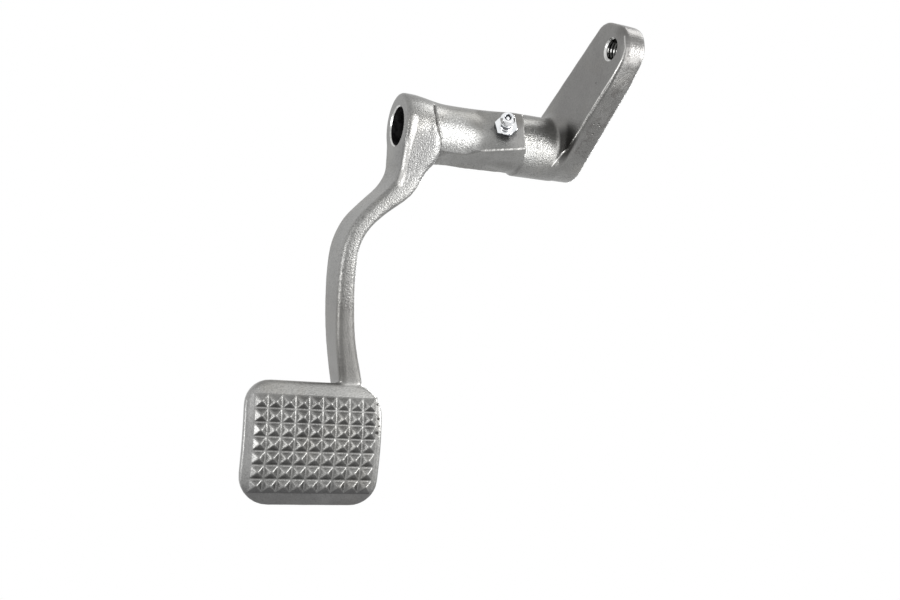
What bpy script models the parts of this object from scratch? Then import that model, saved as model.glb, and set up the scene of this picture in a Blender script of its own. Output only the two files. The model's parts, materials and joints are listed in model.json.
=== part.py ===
"""Motorcycle brake pedal: a cast lever with a checkered foot pad, and its grease fitting.

The pivot axis is X, from the pad side to the crank side. The origin is on that axis, at the flat end
of the eye beside the arm. -Y is toward the rider's foot, and +Z is up. Lengths are in metres.
"""

import math

import bmesh
import bpy
from mathutils import Euler, Matrix, Vector

MM = 0.001

# Pivot eye and barrel
EYE_RADIUS = 14.8 * MM
EYE_WIDTH = 14.6 * MM
EYE_ROUND = 1.3 * MM
FLARE_START_X = 3.5 * MM
FLARE_END_X = 22.0 * MM
BARREL_WAIST_RADIUS = 12.6 * MM
BARREL_END_RADIUS = 14.1 * MM
BARREL_WAIST_X = 26.0 * MM
BOSS_END_X = 54.9 * MM
CRANK_INNER_X = 77.0 * MM
CRANK_THICKNESS = 13.5 * MM
CRANK_OUTER_X = CRANK_INNER_X + CRANK_THICKNESS
BORE_RADIUS = 8.65 * MM
BORE_CHAMFER = 0.5 * MM
UNDERSIDE_DROP = 14.9 * MM
KEEL_DROP = 15.1 * MM

# Grease boss: its flat face carries the fitting
FITTING_X = 46.6 * MM
FITTING_LEAN = math.radians(21.2)
FITTING_RISE = math.radians(20.0)
FLAT_RADIUS = 15.4 * MM
FLAT_ANGLE = math.radians(15.8)
FLAT_TOP_Z = 11.7 * MM
FLAT_LOW_Z = -4.4 * MM
FLAT_LEFT_X = 36.0 * MM
GREASE_WAY_RADIUS = 1.5 * MM
DRILL_POINT = 0.5 * MM

# Crank lever: its line leans forward from the pivot, and its inner face leans outward along it
CRANK_ANGLE = math.radians(46.0)
CRANK_LEAN = math.radians(3.0)
CRANK_HOLE_DROP = 1.8 * MM
CRANK_HOLE_RADIUS = 4.4 * MM
CRANK_HOLE_CHAMFER = 0.7 * MM
CRANK_TIP_REACH = 58.6 * MM
CRANK_HOLE_OFFSET = 0.5 * MM
CRANK_HOLE_REACH = CRANK_TIP_REACH + CRANK_HOLE_OFFSET
CRANK_TIP_DROP = 2.6 * MM
CRANK_TIP_RADIUS = 11.4 * MM
CRANK_SHOULDER_RADIUS = 9.3 * MM
CRANK_EDGE_REACH = 49.0 * MM
CRANK_EDGE_RADIUS = 11.6 * MM
CRANK_HEEL_RADIUS = 12.7 * MM
CRANK_ROOT_RADIUS = 14.75 * MM
CRANK_ROUND = 1.2 * MM
CRANK_FILLET = 4.2 * MM

# Foot pad
PAD_X = -27.3 * MM
PAD_Y = -11.3 * MM
PAD_Z = -142.1 * MM
PAD_TURN = Euler((math.radians(-7.0), math.radians(0.7), math.radians(-2.7)))
PAD_LEFT = 30.9 * MM
PAD_RIGHT = 29.8 * MM
PAD_TOP = 26.9 * MM
PAD_BOTTOM = 26.6 * MM
PAD_CORNER = 11.0 * MM
PAD_HIGH_RIGHT_CORNER = 13.0 * MM
PAD_LOW_LEFT_CORNER = 13.5 * MM
PAD_THICKNESS = 5.1 * MM
PAD_CROWN_RADIUS = 66.8 * MM
PAD_ROUND = 1.0 * MM
STUD_PITCH = 6.0 * MM
STUD_COLUMNS = 9
STUD_ROWS = 7
STUD_HEIGHT = 2.35 * MM
STUD_TIP = 0.5 * MM
STUD_VALLEY = 0.55 * MM
FIELD_STEP = 0.1 * MM

# Arm: how thick it is across, how deep along Y, and the rounding of its long edges
ARM_ROUND = 2.6 * MM

# Grease fitting, along its own axis from the seat
HEX_FLATS = 9.3 * MM
HEX_HEIGHT = 3.5 * MM
SEAT_GAP = 0.3 * MM
SHANK_RADIUS = 3.6 * MM
SHANK_LENGTH = 4.4 * MM
HEAD_RADIUS = 3.25 * MM
NECK_RADIUS = 2.4 * MM
HEAD_TOP = 11.25 * MM
MOUTH_RADIUS = 1.2 * MM
CHAMBER_RADIUS = 1.75 * MM
CHAMBER_FLOOR = 4.3 * MM
PASSAGE_RADIUS = 0.8 * MM
BALL_RADIUS = 1.4 * MM
BALL_CENTRE = 9.5 * MM
SPRING_RADIUS = 1.15 * MM
SPRING_WIRE = 0.2 * MM
SPRING_TURNS = 4.5

# How far a cutter runs past the face that it opens
CUT_MARGIN = 3.0 * MM

ROUND_STEPS = 56


def clear_scene():
    for obj in list(bpy.data.objects):
        bpy.data.objects.remove(obj)


def new_collection(name, hidden=False):
    collection = bpy.data.collections.new(name)
    bpy.context.scene.collection.children.link(collection)
    collection.hide_render = hidden
    return collection


def new_material(name, colour, roughness, metallic):
    material = bpy.data.materials.new(name)
    material.use_nodes = True
    shader = material.node_tree.nodes["Principled BSDF"]
    shader.inputs["Base Color"].default_value = (*colour, 1.0)
    shader.inputs["Roughness"].default_value = roughness
    shader.inputs["Metallic"].default_value = metallic
    return material


def add_object(name, mesh, collection, matrix=None):
    obj = bpy.data.objects.new(name, mesh)
    collection.objects.link(obj)
    if matrix is not None:
        obj.matrix_world = matrix
    if collection.hide_render:
        obj.hide_render = True
        obj.display_type = "WIRE"
    return obj


def mesh_from(name, bm):
    bmesh.ops.recalc_face_normals(bm, faces=bm.faces)
    mesh = bpy.data.meshes.new(name)
    bm.to_mesh(mesh)
    bm.free()
    return mesh


def boolean(target, tool, operation):
    modifier = target.modifiers.new(f"{operation} {tool.name}", "BOOLEAN")
    modifier.operation = operation
    modifier.object = tool
    modifier.solver = "EXACT"


def turned(name, profile, collection, matrix=None, steps=ROUND_STEPS):
    """A solid of revolution about its local Z, from (radius, height) points that run down its side."""
    mesh = bpy.data.meshes.new(name)
    points = [(radius, 0.0, height) for radius, height in profile]
    mesh.from_pydata(points, [(i, i + 1) for i in range(len(points) - 1)], [])
    obj = add_object(name, mesh, collection, matrix)
    screw = obj.modifiers.new("Turn", "SCREW")
    screw.axis = "Z"
    screw.steps = steps
    screw.render_steps = steps
    screw.use_merge_vertices = True
    screw.merge_threshold = 0.00001
    return obj


def hull(name, points, collection):
    bm = bmesh.new()
    for point in points:
        bm.verts.new(point)
    bmesh.ops.convex_hull(bm, input=bm.verts)
    loose = [vert for vert in bm.verts if not vert.link_faces]
    bmesh.ops.delete(bm, geom=loose, context="VERTS")
    return add_object(name, mesh_from(name, bm), collection)


def loft(name, rings, collection):
    """A closed skin over rings of equally many points."""
    bm = bmesh.new()
    rows = [[bm.verts.new(point) for point in ring] for ring in rings]
    count = len(rows[0])
    for row, after in zip(rows, rows[1:]):
        for i in range(count):
            j = (i + 1) % count
            bm.faces.new((row[i], row[j], after[j], after[i]))
    bm.faces.new(rows[0])
    bm.faces.new(rows[-1])
    return add_object(name, mesh_from(name, bm), collection)


def smooth_through(stations, steps):
    """Catmull-Rom points through a list of number tuples, with so many steps between two stations."""
    first = [2 * a - b for a, b in zip(stations[0], stations[1])]
    last = [2 * a - b for a, b in zip(stations[-1], stations[-2])]
    line = [first, *stations, last]
    found = []
    for p0, p1, p2, p3 in zip(line, line[1:], line[2:], line[3:]):
        for step in range(steps):
            t = step / steps
            found.append(
                [
                    0.5
                    * (
                        2 * b
                        + (c - a) * t
                        + (2 * a - 5 * b + 4 * c - d) * t * t
                        + (3 * b - a - 3 * c + d) * t**3
                    )
                    for a, b, c, d in zip(p0, p1, p2, p3)
                ]
            )
    found.append(list(stations[-1]))
    return found


def rounded_outline(left, right, bottom, top, radii, steps):
    """Points round a rectangle with rounded corners, anticlockwise from the top right one."""
    corners = (
        (right - radii[0], top - radii[0], 0),
        (left + radii[1], top - radii[1], 90),
        (left + radii[2], bottom + radii[2], 180),
        (right - radii[3], bottom + radii[3], 270),
    )
    points = []
    for (u, v, start), radius in zip(corners, radii):
        for step in range(steps + 1):
            angle = math.radians(start + 90 * step / steps)
            points.append((u + radius * math.cos(angle), v + radius * math.sin(angle)))
    return points


def along_pivot():
    """Turns a shape's own Z to +X."""
    return Matrix.Rotation(math.radians(90), 4, "Y")


def fitting_axis():
    side = math.cos(FITTING_LEAN)
    return Vector(
        (
            -math.sin(FITTING_LEAN),
            -side * math.cos(FITTING_RISE),
            side * math.sin(FITTING_RISE),
        )
    )


def fitting_seat():
    return Vector(
        (
            FITTING_X,
            -FLAT_RADIUS * math.cos(FLAT_ANGLE),
            FLAT_RADIUS * math.sin(FLAT_ANGLE),
        )
    )


def on_flat(x, z):
    """The point of the boss's flat plane with this X and Z."""
    axis = fitting_axis()
    level = axis.dot(fitting_seat())
    return Vector((x, (level - axis.x * x - axis.z * z) / axis.y, z))


def fitting_frame():
    """The fitting's own frame: Z out along its axis, origin on the flat."""
    axis = fitting_axis()
    side = axis.cross(Vector((0, 0, 1))).normalized()
    up = axis.cross(side)
    frame = Matrix((side, up, axis)).transposed().to_4x4()
    return Matrix.Translation(fitting_seat()) @ frame


def barrel_profile():
    """(radius, x) from the crank end down to the eye."""
    points = [(0.0, CRANK_INNER_X + 3 * MM), (BARREL_END_RADIUS - 2 * MM, CRANK_INNER_X + 3 * MM)]
    points.append((BARREL_END_RADIUS, CRANK_INNER_X + 0.6 * MM))
    points.append((BARREL_END_RADIUS, BOSS_END_X))
    for i in range(1, 9):
        t = 1 - i / 8
        x = BARREL_WAIST_X + (BOSS_END_X - BARREL_WAIST_X) * t
        points.append((BARREL_WAIST_RADIUS + (BARREL_END_RADIUS - BARREL_WAIST_RADIUS) * t * t, x))
    for i in range(10):
        t = 1 - i / 9
        ease = t * t * (3 - 2 * t)
        x = FLARE_START_X + (FLARE_END_X - FLARE_START_X) * t
        points.append((EYE_RADIUS + (BARREL_WAIST_RADIUS - EYE_RADIUS) * ease, x))
    for i in range(5):
        angle = math.radians(22.5 * i)
        radius = EYE_RADIUS - EYE_ROUND + EYE_ROUND * math.cos(angle)
        points.append((radius, EYE_ROUND - EYE_ROUND * math.sin(angle)))
    points.append((0.0, 0.0))
    return points


def boss_points():
    """Corners of the grease boss, from its flat back into the barrel."""
    end = BOSS_END_X
    left = FLAT_LEFT_X
    return [
        on_flat(end - 0.4 * MM, FLAT_TOP_Z),
        on_flat(end, FLAT_LOW_Z),
        on_flat(left, FLAT_LOW_Z - 3.1 * MM),
        on_flat(left, FLAT_TOP_Z),
        (end + 3.2 * MM, 1.0 * MM, BARREL_END_RADIUS),
        (end + 2.6 * MM, -15.2 * MM, -6.5 * MM),
        (end + 5.2 * MM, -7.0 * MM, -11.2 * MM),
        (end + 7.0 * MM, -1.0 * MM, -BARREL_END_RADIUS),
        (end + 5.0 * MM, 5.0 * MM, 0.0),
        (left - 5.0 * MM, -8.5 * MM, -9.5 * MM),
        (left - 5.0 * MM, -11.4 * MM, -5.0 * MM),
        (left - 1.5 * MM, 1.4 * MM, -UNDERSIDE_DROP),
        (left, 0.0, BARREL_WAIST_RADIUS + 0.2 * MM),
    ]


def web_points():
    """Corners of the flat underside between the boss and the eye."""
    left = EYE_WIDTH + 1.0 * MM
    right = FLAT_LEFT_X
    drop = UNDERSIDE_DROP
    return [
        (left + 3.0 * MM, 0.6 * MM, -14.3 * MM),
        (left + 5.1 * MM, -3.8 * MM, -12.0 * MM),
        (left + 7.7 * MM, -6.9 * MM, -10.4 * MM),
        (left + 11.0 * MM, -8.5 * MM, -9.5 * MM),
        (right - 1.0 * MM, -8.6 * MM, -9.4 * MM),
        (left, 1.4 * MM, -drop),
        (right, 1.4 * MM, -drop),
        (left, 6.5 * MM, -10.6 * MM),
        (right, 6.0 * MM, -10.6 * MM),
        (left, 0.0, 0.0),
        (right, 0.0, 0.0),
    ]


def keel_rings():
    """The barrel's lower side hangs a little lower between the boss and the crank lever."""
    rings = []
    for x in (BOSS_END_X + 4 * MM, CRANK_INNER_X + 3 * MM):
        ring = []
        for i in range(ROUND_STEPS):
            angle = 2 * math.pi * i / ROUND_STEPS
            radius = BARREL_END_RADIUS - 0.15 * MM
            level = BARREL_END_RADIUS - 0.15 * MM - KEEL_DROP
            ring.append(Vector((x, radius * math.cos(angle), level + radius * math.sin(angle))))
        rings.append(ring)
    return rings


def arm_stations():
    """(left x, left z, right x, right z, middle y, depth) down the arm, seen from the front."""
    rows = (
        (1.4, 9.5, 13.3, 9.5, 0.0, 20.0),
        (1.0, 6.5, 13.0, 6.5, 0.0, 24.6),
        (0.6, 2.2, 13.9, 2.2, 0.0, 27.9),
        (0.2, -0.9, 15.4, -0.9, 0.0, 28.2),
        (0.1, -4.2, 16.9, -4.2, 0.0, 28.0),
        (0.05, -7.7, 17.6, -7.7, 0.0, 27.2),
        (0.05, -11.0, 17.6, -11.1, 0.0, 26.3),
        (0.05, -14.8, 15.9, -15.0, 0.0, 25.4),
        (-0.3, -20.8, 11.8, -20.4, 0.2, 24.5),
        (-3.6, -27.4, 6.5, -30.4, 0.5, 24.5),
        (-10.4, -34.8, -3.9, -39.5, 0.9, 24.5),
        (-17.4, -43.2, -10.5, -46.4, 1.3, 24.5),
        (-21.6, -53.6, -14.4, -54.8, 1.8, 24.2),
        (-22.6, -65.0, -14.9, -65.4, 2.5, 23.8),
        (-21.8, -81.5, -13.7, -80.5, 3.8, 22.8),
        (-19.7, -98.5, -10.8, -97.5, 5.2, 21.2),
        (-15.4, -119.0, -4.9, -117.5, 6.7, 19.4),
        (-12.6, -133.0, -2.4, -133.0, 3.4, 15.0),
        (-11.5, -150.0, -2.8, -150.0, -5.6, 4.0),
    )
    return [tuple(value * MM for value in row) for row in rows]


def arm_ring(xl, zl, xr, zr, middle, depth):
    """A rounded rectangle between the arm's left and right edges."""
    across = Vector((xr - xl, 0, zr - zl))
    width = across.length
    across.normalize()
    radius = min(ARM_ROUND, 0.42 * width, 0.42 * depth)
    outline = rounded_outline(-width / 2, width / 2, -depth / 2, depth / 2, [radius] * 4, 4)
    centre = Vector(((xl + xr) / 2, middle, (zl + zr) / 2))
    return [centre + across * u + Vector((0, v, 0)) for u, v in outline]


def make_arm(cutters):
    rings = [arm_ring(*row) for row in smooth_through(arm_stations(), 3)]
    return loft("arm", rings, cutters)


def crowned(v):
    return v * v / (2 * PAD_CROWN_RADIUS)


def pad_frame():
    return Matrix.Translation((PAD_X, PAD_Y, PAD_Z)) @ PAD_TURN.to_matrix().to_4x4()


def bend(bm):
    for vert in bm.verts:
        vert.co.y += crowned(vert.co.z)


def make_pad(cutters):
    radii = (PAD_HIGH_RIGHT_CORNER, PAD_CORNER, PAD_LOW_LEFT_CORNER, PAD_CORNER)
    outline = rounded_outline(-PAD_LEFT, PAD_RIGHT, -PAD_BOTTOM, PAD_TOP, radii, 7)
    bm = bmesh.new()
    face = bm.faces.new([bm.verts.new((u, FIELD_STEP, v)) for u, v in outline])
    grown = bmesh.ops.extrude_face_region(bm, geom=[face])
    back = [item for item in grown["geom"] if isinstance(item, bmesh.types.BMVert)]
    bmesh.ops.translate(bm, vec=(0, PAD_THICKNESS, 0), verts=back)
    rim = [e for e in bm.edges if abs(e.verts[0].co.y - e.verts[1].co.y) < 1e-7]
    bmesh.ops.bevel(bm, geom=rim, offset=PAD_ROUND, segments=2, profile=0.5, affect="EDGES")
    level = -PAD_BOTTOM + 3 * MM
    while level < PAD_TOP - 1 * MM:
        geometry = bm.verts[:] + bm.edges[:] + bm.faces[:]
        bmesh.ops.bisect_plane(bm, geom=geometry, plane_co=(0, 0, level), plane_no=(0, 0, 1))
        level += 3 * MM
    bend(bm)
    pad = add_object("pad", mesh_from("pad", bm), cutters, pad_frame())
    boolean(pad, make_field(cutters), "UNION")
    return pad


def stud_height(offset):
    """How far the pyramid surface stands over the valley, so far in from a cell's edge."""
    rise = (offset - STUD_VALLEY / 2) / ((STUD_PITCH - STUD_TIP - STUD_VALLEY) / 2)
    return STUD_HEIGHT * min(1.0, max(0.0, rise))


def make_field(cutters):
    """A slab let into the pad, whose face is the field of pyramids."""
    edges = (0.0, STUD_VALLEY / 2, (STUD_PITCH - STUD_TIP) / 2)
    marks = [*edges, *(STUD_PITCH - edge for edge in reversed(edges[1:]))]
    columns = [i * STUD_PITCH + m for i in range(STUD_COLUMNS) for m in marks]
    rows = [j * STUD_PITCH + m for j in range(STUD_ROWS) for m in marks]
    columns.append(STUD_COLUMNS * STUD_PITCH)
    rows.append(STUD_ROWS * STUD_PITCH)
    half_u = STUD_COLUMNS * STUD_PITCH / 2
    half_v = STUD_ROWS * STUD_PITCH / 2
    bm = bmesh.new()

    def inset(value):
        rest = value % STUD_PITCH
        return min(rest, STUD_PITCH - rest)

    grid = []
    for v in rows:
        line = []
        for u in columns:
            height = stud_height(min(inset(u), inset(v)))
            line.append(bm.verts.new((u - half_u, -height, v - half_v)))
        grid.append(line)
    for j in range(len(rows) - 1):
        for i in range(len(columns) - 1):
            a, b = grid[j][i], grid[j][i + 1]
            c, d = grid[j + 1][i + 1], grid[j + 1][i]
            rising = (a.co.y + c.co.y) <= (b.co.y + d.co.y)
            if rising:
                bm.faces.new((a, b, c))
                bm.faces.new((a, c, d))
            else:
                bm.faces.new((a, b, d))
                bm.faces.new((b, c, d))
    flat_faces(bm)
    grown = bmesh.ops.extrude_face_region(bm, geom=bm.faces[:])
    top = [item for item in grown["geom"] if isinstance(item, bmesh.types.BMVert)]
    for vert in top:
        vert.co.y = FIELD_STEP + 1.5 * MM
    bend(bm)
    return add_object("pad_field", mesh_from("pad_field", bm), cutters, pad_frame())


def flat_faces(bm):
    """Joins the triangles of one flat face, to keep the pattern light."""
    bmesh.ops.dissolve_limit(
        bm, angle_limit=math.radians(1), verts=bm.verts[:], edges=bm.edges[:]
    )
    bmesh.ops.triangulate(bm, faces=bm.faces[:])


def crank_point(reach, drop):
    """(y, z) so far out along the crank lever's line, and so far below it."""
    y = -reach * math.cos(CRANK_ANGLE) - drop * math.sin(CRANK_ANGLE)
    z = reach * math.sin(CRANK_ANGLE) - drop * math.cos(CRANK_ANGLE)
    return y, z


def lean_at(y, z):
    """How far the crank lever's inner face has moved out at this place."""
    reach = -y * math.cos(CRANK_ANGLE) + z * math.sin(CRANK_ANGLE)
    return reach * math.tan(CRANK_LEAN)


def crank_discs(inset=0.0):
    """(y, z, radius) of the discs whose hull is the crank lever."""
    discs = [
        (CRANK_TIP_REACH, CRANK_TIP_DROP, CRANK_TIP_RADIUS),
        (CRANK_TIP_REACH - 1.5 * MM, -5.4 * MM, CRANK_SHOULDER_RADIUS),
        (CRANK_EDGE_REACH, CRANK_TIP_DROP + 0.8 * MM, CRANK_EDGE_RADIUS),
        (3.0 * MM, -7.0 * MM, CRANK_HEEL_RADIUS),
        (0.0, 0.0, CRANK_ROOT_RADIUS),
    ]
    return [(*crank_point(reach, drop), radius - inset) for reach, drop, radius in discs]


def circle(x, y, z, radius, steps):
    """Points round a circle across the pivot axis, moved out with the crank lever's lean."""
    points = []
    for i in range(steps):
        angle = 2 * math.pi * i / steps
        py = y + radius * math.cos(angle)
        pz = z + radius * math.sin(angle)
        points.append((x + lean_at(py, pz), py, pz))
    return points


def make_crank(cutters):
    points = []
    edge = CRANK_ROUND
    for y, z, radius in crank_discs():
        for depth, inset in ((0.0, edge), (0.3 * edge, 0.3 * edge), (edge, 0.0)):
            points += circle(CRANK_INNER_X + depth, y, z, radius - inset, 40)
            for x, py, pz in circle(0.0, y, z, radius - inset, 40):
                points.append((CRANK_OUTER_X - depth, py, pz))
    return hull("crank", points, cutters)


def make_crank_fillet(cutters):
    """The hollow curve from the barrel out to the crank lever, kept inside the lever's outline."""
    start = CRANK_INNER_X - CRANK_FILLET
    rings = [circle(start - 1 * MM, 0, 0, BARREL_END_RADIUS - 1 * MM, ROUND_STEPS)]
    for i in range(7):
        angle = math.radians(14 * i)
        radius = BARREL_END_RADIUS + CRANK_FILLET * (1 - math.cos(angle))
        rings.append(circle(start + CRANK_FILLET * math.sin(angle), 0, 0, radius, ROUND_STEPS))
    radius = BARREL_END_RADIUS + CRANK_FILLET
    rings.append(circle(CRANK_INNER_X + 1 * MM, 0, 0, radius, ROUND_STEPS))
    ring = loft("crank_fillet", rings, cutters)
    points = []
    for y, z, reach in crank_discs(CRANK_ROUND + 0.1 * MM):
        points += circle(start - 5 * MM, y, z, reach, 40)
        points += circle(CRANK_INNER_X + 4 * MM, y, z, reach, 40)
    boolean(ring, hull("crank_outline", points, cutters), "INTERSECT")
    return ring


def bore_cutter(cutters):
    far = CRANK_OUTER_X
    edge = BORE_CHAMFER
    profile = [
        (0.0, far + 2 * MM),
        (BORE_RADIUS + edge + 2 * MM, far + 2 * MM),
        (BORE_RADIUS, far - edge),
        (BORE_RADIUS, edge),
        (BORE_RADIUS + edge + 2 * MM, -2 * MM),
        (0.0, -2 * MM),
    ]
    return turned("pivot_bore_cutter", profile, cutters, along_pivot())


def crank_hole_cutter(cutters):
    y, z = crank_point(CRANK_HOLE_REACH, CRANK_HOLE_DROP)
    near = CRANK_INNER_X + lean_at(y, z)
    far = CRANK_OUTER_X
    edge = CRANK_HOLE_CHAMFER
    radius = CRANK_HOLE_RADIUS
    profile = [
        (0.0, far + 2 * MM),
        (radius + edge + 2 * MM, far + 2 * MM),
        (radius, far - edge),
        (radius, near + edge),
        (radius + edge + 2 * MM, near - 2 * MM),
        (0.0, near - 2 * MM),
    ]
    place = Matrix.Translation((0, y, z)) @ along_pivot()
    return turned("crank_hole_cutter", profile, cutters, place, 40)


def seat_cutter(cutters):
    """The tapped hole under the fitting, and the passage from it to the bore."""
    radius = SHANK_RADIUS + SEAT_GAP
    floor = SHANK_LENGTH + SEAT_GAP
    reach = FLAT_RADIUS - BORE_RADIUS + CUT_MARGIN
    profile = [
        (0.0, CUT_MARGIN),
        (radius, CUT_MARGIN),
        (radius, -floor),
        (GREASE_WAY_RADIUS, -floor - DRILL_POINT),
        (GREASE_WAY_RADIUS, -reach),
        (0.0, -reach),
    ]
    return turned("fitting_seat_cutter", profile, cutters, fitting_frame(), 24)


def make_casting(parts, cutters, material):
    casting = turned("pedal_casting", barrel_profile(), parts, along_pivot())
    casting.data.materials.append(material)
    boolean(casting, hull("web", web_points(), cutters), "UNION")
    boolean(casting, hull("boss", boss_points(), cutters), "UNION")
    boolean(casting, loft("keel", keel_rings(), cutters), "UNION")
    boolean(casting, make_arm(cutters), "UNION")
    boolean(casting, make_pad(cutters), "UNION")
    boolean(casting, make_crank(cutters), "UNION")
    boolean(casting, make_crank_fillet(cutters), "UNION")
    boolean(casting, bore_cutter(cutters), "DIFFERENCE")
    boolean(casting, crank_hole_cutter(cutters), "DIFFERENCE")
    boolean(casting, seat_cutter(cutters), "DIFFERENCE")
    return casting


def make_fitting(parts, cutters, material):
    """Hexagon, neck and head in one turned body, with the passage for the grease."""
    frame = fitting_frame()
    low = SEAT_GAP
    top = HEAD_TOP
    hexagon = HEX_FLATS / math.sqrt(3)
    body = [
        (0.0, top),
        (2.2 * MM, top),
        (2.45 * MM, top - 0.2 * MM),
        (HEAD_RADIUS - 0.2 * MM, top - 1.35 * MM),
        (HEAD_RADIUS, top - 1.95 * MM),
        (HEAD_RADIUS - 0.03 * MM, top - 2.65 * MM),
        (HEAD_RADIUS - 0.2 * MM, top - 4.05 * MM),
        (HEAD_RADIUS - 0.45 * MM, top - 4.35 * MM),
        (NECK_RADIUS, top - 4.9 * MM),
        (NECK_RADIUS, HEX_HEIGHT + 0.6 * MM),
        (NECK_RADIUS + 0.5 * MM, HEX_HEIGHT + 0.05 * MM),
        (NECK_RADIUS + 0.5 * MM, low + 1.0 * MM),
        (SHANK_RADIUS, low + 0.6 * MM),
        (SHANK_RADIUS, -SHANK_LENGTH + 0.6 * MM),
        (SHANK_RADIUS - 0.6 * MM, -SHANK_LENGTH),
        (0.0, -SHANK_LENGTH),
    ]
    fitting = turned("grease_fitting", body, parts, frame, 28)
    fitting.data.materials.append(material)
    bm = bmesh.new()
    bmesh.ops.create_cone(
        bm,
        cap_ends=True,
        segments=6,
        radius1=hexagon,
        radius2=hexagon,
        depth=HEX_HEIGHT - low,
    )
    turn = Matrix.Rotation(math.radians(18), 4, "Z")
    place = frame @ Matrix.Translation((0, 0, (HEX_HEIGHT + low) / 2)) @ turn
    nut = add_object("hexagon", mesh_from("hexagon", bm), cutters, place)
    rim = HEX_FLATS / 2 + 0.1 * MM
    crown = [
        (0.0, HEX_HEIGHT + 0.2 * MM),
        (rim - 0.35 * MM, HEX_HEIGHT + 0.2 * MM),
        (hexagon + 0.3 * MM, HEX_HEIGHT - 0.8 * MM),
        (hexagon + 0.3 * MM, low - 1 * MM),
        (0.0, low - 1 * MM),
    ]
    boolean(nut, turned("hexagon_crown", crown, cutters, frame, 36), "INTERSECT")
    boolean(fitting, nut, "UNION")
    passage = [
        (0.0, top + 1 * MM),
        (MOUTH_RADIUS + 1.4 * MM, top + 1 * MM),
        (MOUTH_RADIUS, top - 0.4 * MM),
        (MOUTH_RADIUS, top - 0.5 * MM),
        (CHAMBER_RADIUS, top - 1.3 * MM),
        (CHAMBER_RADIUS, CHAMBER_FLOOR),
        (PASSAGE_RADIUS, CHAMBER_FLOOR - 0.5 * MM),
        (PASSAGE_RADIUS, -SHANK_LENGTH - 1 * MM),
        (0.0, -SHANK_LENGTH - 1 * MM),
    ]
    boolean(fitting, turned("fitting_passage_cutter", passage, cutters, frame, 20), "DIFFERENCE")
    return fitting


def make_ball(parts, material):
    bm = bmesh.new()
    bmesh.ops.create_uvsphere(bm, u_segments=20, v_segments=12, radius=BALL_RADIUS)
    mesh = mesh_from("fitting_ball", bm)
    mesh.materials.append(material)
    place = fitting_frame() @ Matrix.Translation((0, 0, BALL_CENTRE))
    return add_object("fitting_ball", mesh, parts, place)


def make_spring(parts, material):
    """A coil from the chamber's floor up to the ball."""
    low = CHAMBER_FLOOR + 0.3 * MM + SPRING_WIRE
    high = BALL_CENTRE - BALL_RADIUS - 0.3 * MM - SPRING_WIRE
    count = int(SPRING_TURNS * 14)
    curve = bpy.data.curves.new("fitting_spring", "CURVE")
    curve.dimensions = "3D"
    curve.bevel_depth = SPRING_WIRE
    curve.bevel_resolution = 2
    curve.use_fill_caps = True
    spline = curve.splines.new("POLY")
    spline.points.add(count)
    for i in range(count + 1):
        t = i / count
        angle = 2 * math.pi * SPRING_TURNS * t
        x = SPRING_RADIUS * math.cos(angle)
        y = SPRING_RADIUS * math.sin(angle)
        spline.points[i].co = (x, y, low + (high - low) * t, 1.0)
    guide = bpy.data.objects.new("spring_guide", curve)
    bpy.context.scene.collection.objects.link(guide)
    guide.matrix_world = fitting_frame()
    bpy.context.view_layer.update()
    graph = bpy.context.evaluated_depsgraph_get()
    mesh = bpy.data.meshes.new_from_object(guide.evaluated_get(graph))
    bm = bmesh.new()
    bm.from_mesh(mesh)
    bmesh.ops.remove_doubles(bm, verts=bm.verts, dist=0.000005)
    bmesh.ops.recalc_face_normals(bm, faces=bm.faces)
    bm.to_mesh(mesh)
    bm.free()
    mesh.name = "fitting_spring"
    mesh.materials.clear()
    mesh.materials.append(material)
    place = guide.matrix_world.copy()
    bpy.data.objects.remove(guide)
    return add_object("fitting_spring", mesh, parts, place)


def main():
    clear_scene()
    parts = new_collection("motorcycle_brake_pedal")
    cutters = new_collection("cutters", hidden=True)
    cast = new_material("cast_steel", (0.42, 0.42, 0.40), 0.45, 0.9)
    plated = new_material("plated_steel", (0.75, 0.76, 0.78), 0.2, 1.0)
    ball = new_material("ball_steel", (0.6, 0.6, 0.6), 0.15, 1.0)
    wire = new_material("spring_steel", (0.5, 0.5, 0.5), 0.3, 1.0)
    made = [
        make_casting(parts, cutters, cast),
        make_fitting(parts, cutters, plated),
        make_ball(parts, ball),
        make_spring(parts, wire),
    ]
    for obj in made:
        if obj.data.polygons:
            obj.data.shade_smooth()
            obj.data.set_sharp_from_angle(angle=math.radians(35))


main()
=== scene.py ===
"""The motorcycle brake pedal as it looks: soft cast edges, blasted grain, a plated grease fitting.

Lengths are in metres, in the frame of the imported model: the pivot axis is X, -Y is toward the
rider's foot, and +Z is up. Lines, zones and small marks on the casting are in millimetres.
"""

import json
import math
import random
from collections import namedtuple

import bmesh
import bpy
import numpy as np
from mathutils import Euler, Matrix, Vector

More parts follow.
